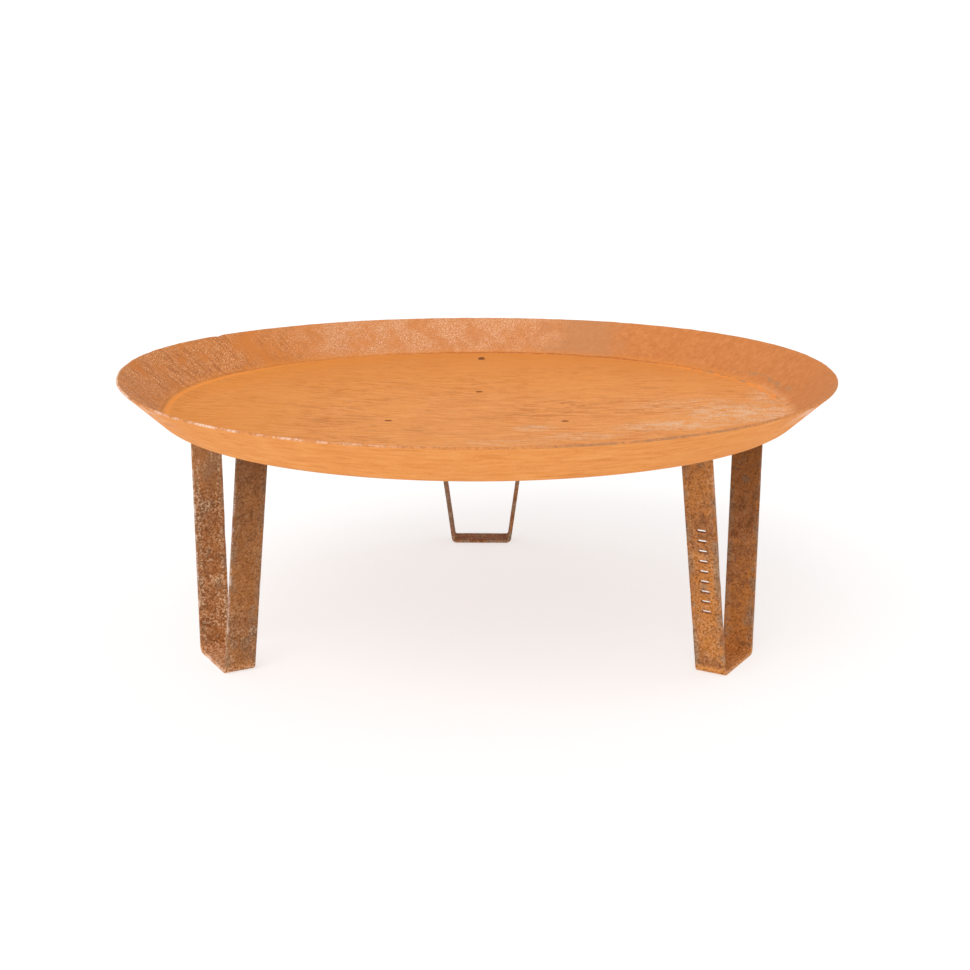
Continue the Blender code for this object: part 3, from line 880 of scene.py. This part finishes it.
def make_bolt(place, material):
    """A button-head bolt: a domed head with a hexagon socket over a cut thread."""
    origin, length = axis_box(f"bolt_{place}")[:2]
    shank = length - BOLT_HEAD_HEIGHT
    thread_rows = int(shank / THREAD_PITCH) * THREAD_ROWS
    rows = [(BOLT_DIAMETER / 2, shank * k / thread_rows) for k in range(thread_rows + 1)]
    head = BOLT_HEAD_DIAMETER / 2
    rows += [(head - FASTENER_EDGE, shank), (head, shank + FASTENER_EDGE)]
    for step in range(9):
        angle = math.radians(9 * step)
        rows.append((head * math.cos(angle),
                     shank + BOLT_HEAD_RIM + (BOLT_HEAD_HEIGHT - BOLT_HEAD_RIM) * math.sin(angle)))
    shape = lathe(rows, [0] * len(rows), FASTENER_STEPS, (0, length - FASTENER_EDGE / 4))
    for vert in shape.verts:
        radius = math.hypot(vert.co.x, vert.co.y)
        if 0 < radius < BOLT_DIAMETER and vert.co.z < shank:
            turn = vert.co.z / THREAD_PITCH - math.atan2(vert.co.y, vert.co.x) / (2 * math.pi)
            cut = THREAD_DEPTH * abs(2 * (turn % 1) - 1)
            tip = max(0.0, 1 - vert.co.z / THREAD_PITCH) * THREAD_DEPTH
            vert.co.xy *= 1 - max(cut, tip) / radius
    bolt = to_object(f"bolt_and_head_{place}", shape, [material])
    bolt.location = origin
    carve(bolt, [drill(SOCKET_WIDTH / math.cos(math.radians(30)), origin + Vector((0, 0, length)),
                       2 * SOCKET_DEPTH, 6)], 30.0)
    return stand_in(bolt, f"bolt_{place}")


def make_washer(place, material):
    """A flat washer with broken edges."""
    origin, height, radius = axis_box(f"washer_{place}")
    hole = HOLE_DIAMETER / 2
    edge = FASTENER_EDGE
    rows = [(hole, edge), (hole + edge, 0), (radius - edge, 0), (radius, edge),
            (radius, height - edge), (radius - edge, height), (hole + edge, height), (hole, height - edge)]
    washer = to_object(f"plain_washer_{place}", lathe(rows, [0] * len(rows), FASTENER_STEPS), [material])
    washer.location = origin
    washer.data.set_sharp_from_angle(angle=math.radians(35))
    return stand_in(washer, f"washer_{place}")


def make_nut(place, material):
    """A hexagon nut, its corners turned down by the chamfers."""
    origin, height = axis_box(f"nut_{place}")[:2]
    hole, flat = BOLT_DIAMETER / 2 + FASTENER_EDGE, NUT_WIDTH / 2
    corner = flat / math.cos(math.radians(30))
    chamfer = (corner - flat) * math.tan(math.radians(30)) * 1.6
    levels = [(hole, FASTENER_EDGE), (hole + 2 * FASTENER_EDGE, 0)]
    levels += [(flat + (corner - flat) * k / 4, chamfer * k / 4) for k in range(5)]
    rows = levels + [(radius, height - level) for radius, level in reversed(levels)]
    shape = lathe(rows, [0] * len(rows), FASTENER_STEPS)
    for vert in shape.verts:
        radius = math.hypot(vert.co.x, vert.co.y)
        from_flat = (math.degrees(math.atan2(vert.co.y, vert.co.x)) % 60) - 30
        limit = flat / math.cos(math.radians(from_flat))
        vert.co.xy *= min(1.0, limit / radius)
    nut = to_object(f"hex_nut_{place}", shape, [material])
    nut.location = origin
    nut.data.set_sharp_from_angle(angle=math.radians(25))
    return stand_in(nut, f"nut_{place}")


def make_stage():
    """A plain pale floor that glows a little, so that shadows on it stay faint."""
    shape = bmesh.new()
    bmesh.ops.create_grid(shape, x_segments=2, y_segments=2, size=STUDIO_FLOOR_SIZE)
    s = Shader("studio_floor")
    s.surface.inputs["Base Color"].default_value = (*STUDIO_FLOOR_COLOUR, 1.0)
    s.surface.inputs["Emission Color"].default_value = (1.0, 1.0, 1.0, 1.0)
    s.surface.inputs["Emission Strength"].default_value = FLOOR_GLOW
    s.surface.inputs["Roughness"].default_value = 0.9
    s.surface.inputs["Specular IOR Level"].default_value = 0.1
    floor = to_object("studio_floor", shape, [s.material])
    floor.location.z = -STUDIO_FLOOR_DROP


def make_lights():
    """A pale studio that is brightest near the horizon, and one broad soft light from the front left."""
    world = bpy.data.worlds.new("studio")
    bpy.context.scene.world = world
    world.use_nodes = True
    nodes, links = world.node_tree.nodes, world.node_tree.links
    background = nodes["Background"]
    place = nodes.new("ShaderNodeTexCoord")
    parts = nodes.new("ShaderNodeSeparateXYZ")
    rise = nodes.new("ShaderNodeMapRange")
    rise.interpolation_type = "SMOOTHSTEP"
    for socket, value in zip(rise.inputs[1:], (*WORLD_FADE, WORLD_HORIZON, WORLD_ZENITH)):
        socket.default_value = value
    links.new(place.outputs["Generated"], parts.inputs[0])
    links.new(parts.outputs[2], rise.inputs[0])
    links.new(rise.outputs[0], background.inputs["Strength"])
    background.inputs["Color"].default_value = STUDIO_WHITE
    sun = bpy.data.lights.new("key", "SUN")
    sun.energy = KEY_STRENGTH
    sun.angle = math.radians(KEY_SOFTNESS)
    light = link(bpy.data.objects.new("key", sun))
    light.rotation_euler = Vector(KEY_FROM).to_track_quat("Z", "Y").to_euler()


def make_camera():
    camera_data = bpy.data.cameras.new("camera")
    camera_data.sensor_width = SENSOR
    camera_data.lens = CAMERA_LENS
    camera = link(bpy.data.objects.new("camera", camera_data))
    camera.location = CAMERA_PLACE
    camera.rotation_euler = (math.radians(90) - CAMERA_DOWN, 0, CAMERA_TURN)
    bpy.context.scene.camera = camera


make_camera()
make_lights()
make_stage()
bpy.context.scene.view_settings.view_transform = "Standard"
make_bowl(bowl_inside_rust(), bowl_outside_rust(), rim_rust())
middles = {place: polar(LEG_TOP_RADIUS, azimuth, 0).x for place, azimuth in LEG_AZIMUTHS.items()}
# The whole rear leg counts as the second strap, so all of it gets the painted shade
middles["rear"] -= LEG_TOP_LENGTH
make_leg("left", leg_rust("leg_rust_left", glow=0.35, paleness=0.9, ashen=0.5,
                          shift=(0.0, 0.0, 0.0), middle=middles["left"]))
make_leg("right", leg_rust("leg_rust_right", glow=0.80, paleness=0.22, ashen=0.7,
                           shift=(0.7, 0.2, 0.1), middle=middles["right"]))
make_leg("rear", leg_rust("leg_rust_rear", glow=0.0, paleness=0.30, ashen=0.9,
                          shift=(0.2, 0.9, 0.4), middle=middles["rear"]))
fastener_material = fastener_rust()
for place in LEG_AZIMUTHS:
    make_bolt(place, fastener_material)
    make_washer(place, fastener_material)
    make_nut(place, fastener_material)
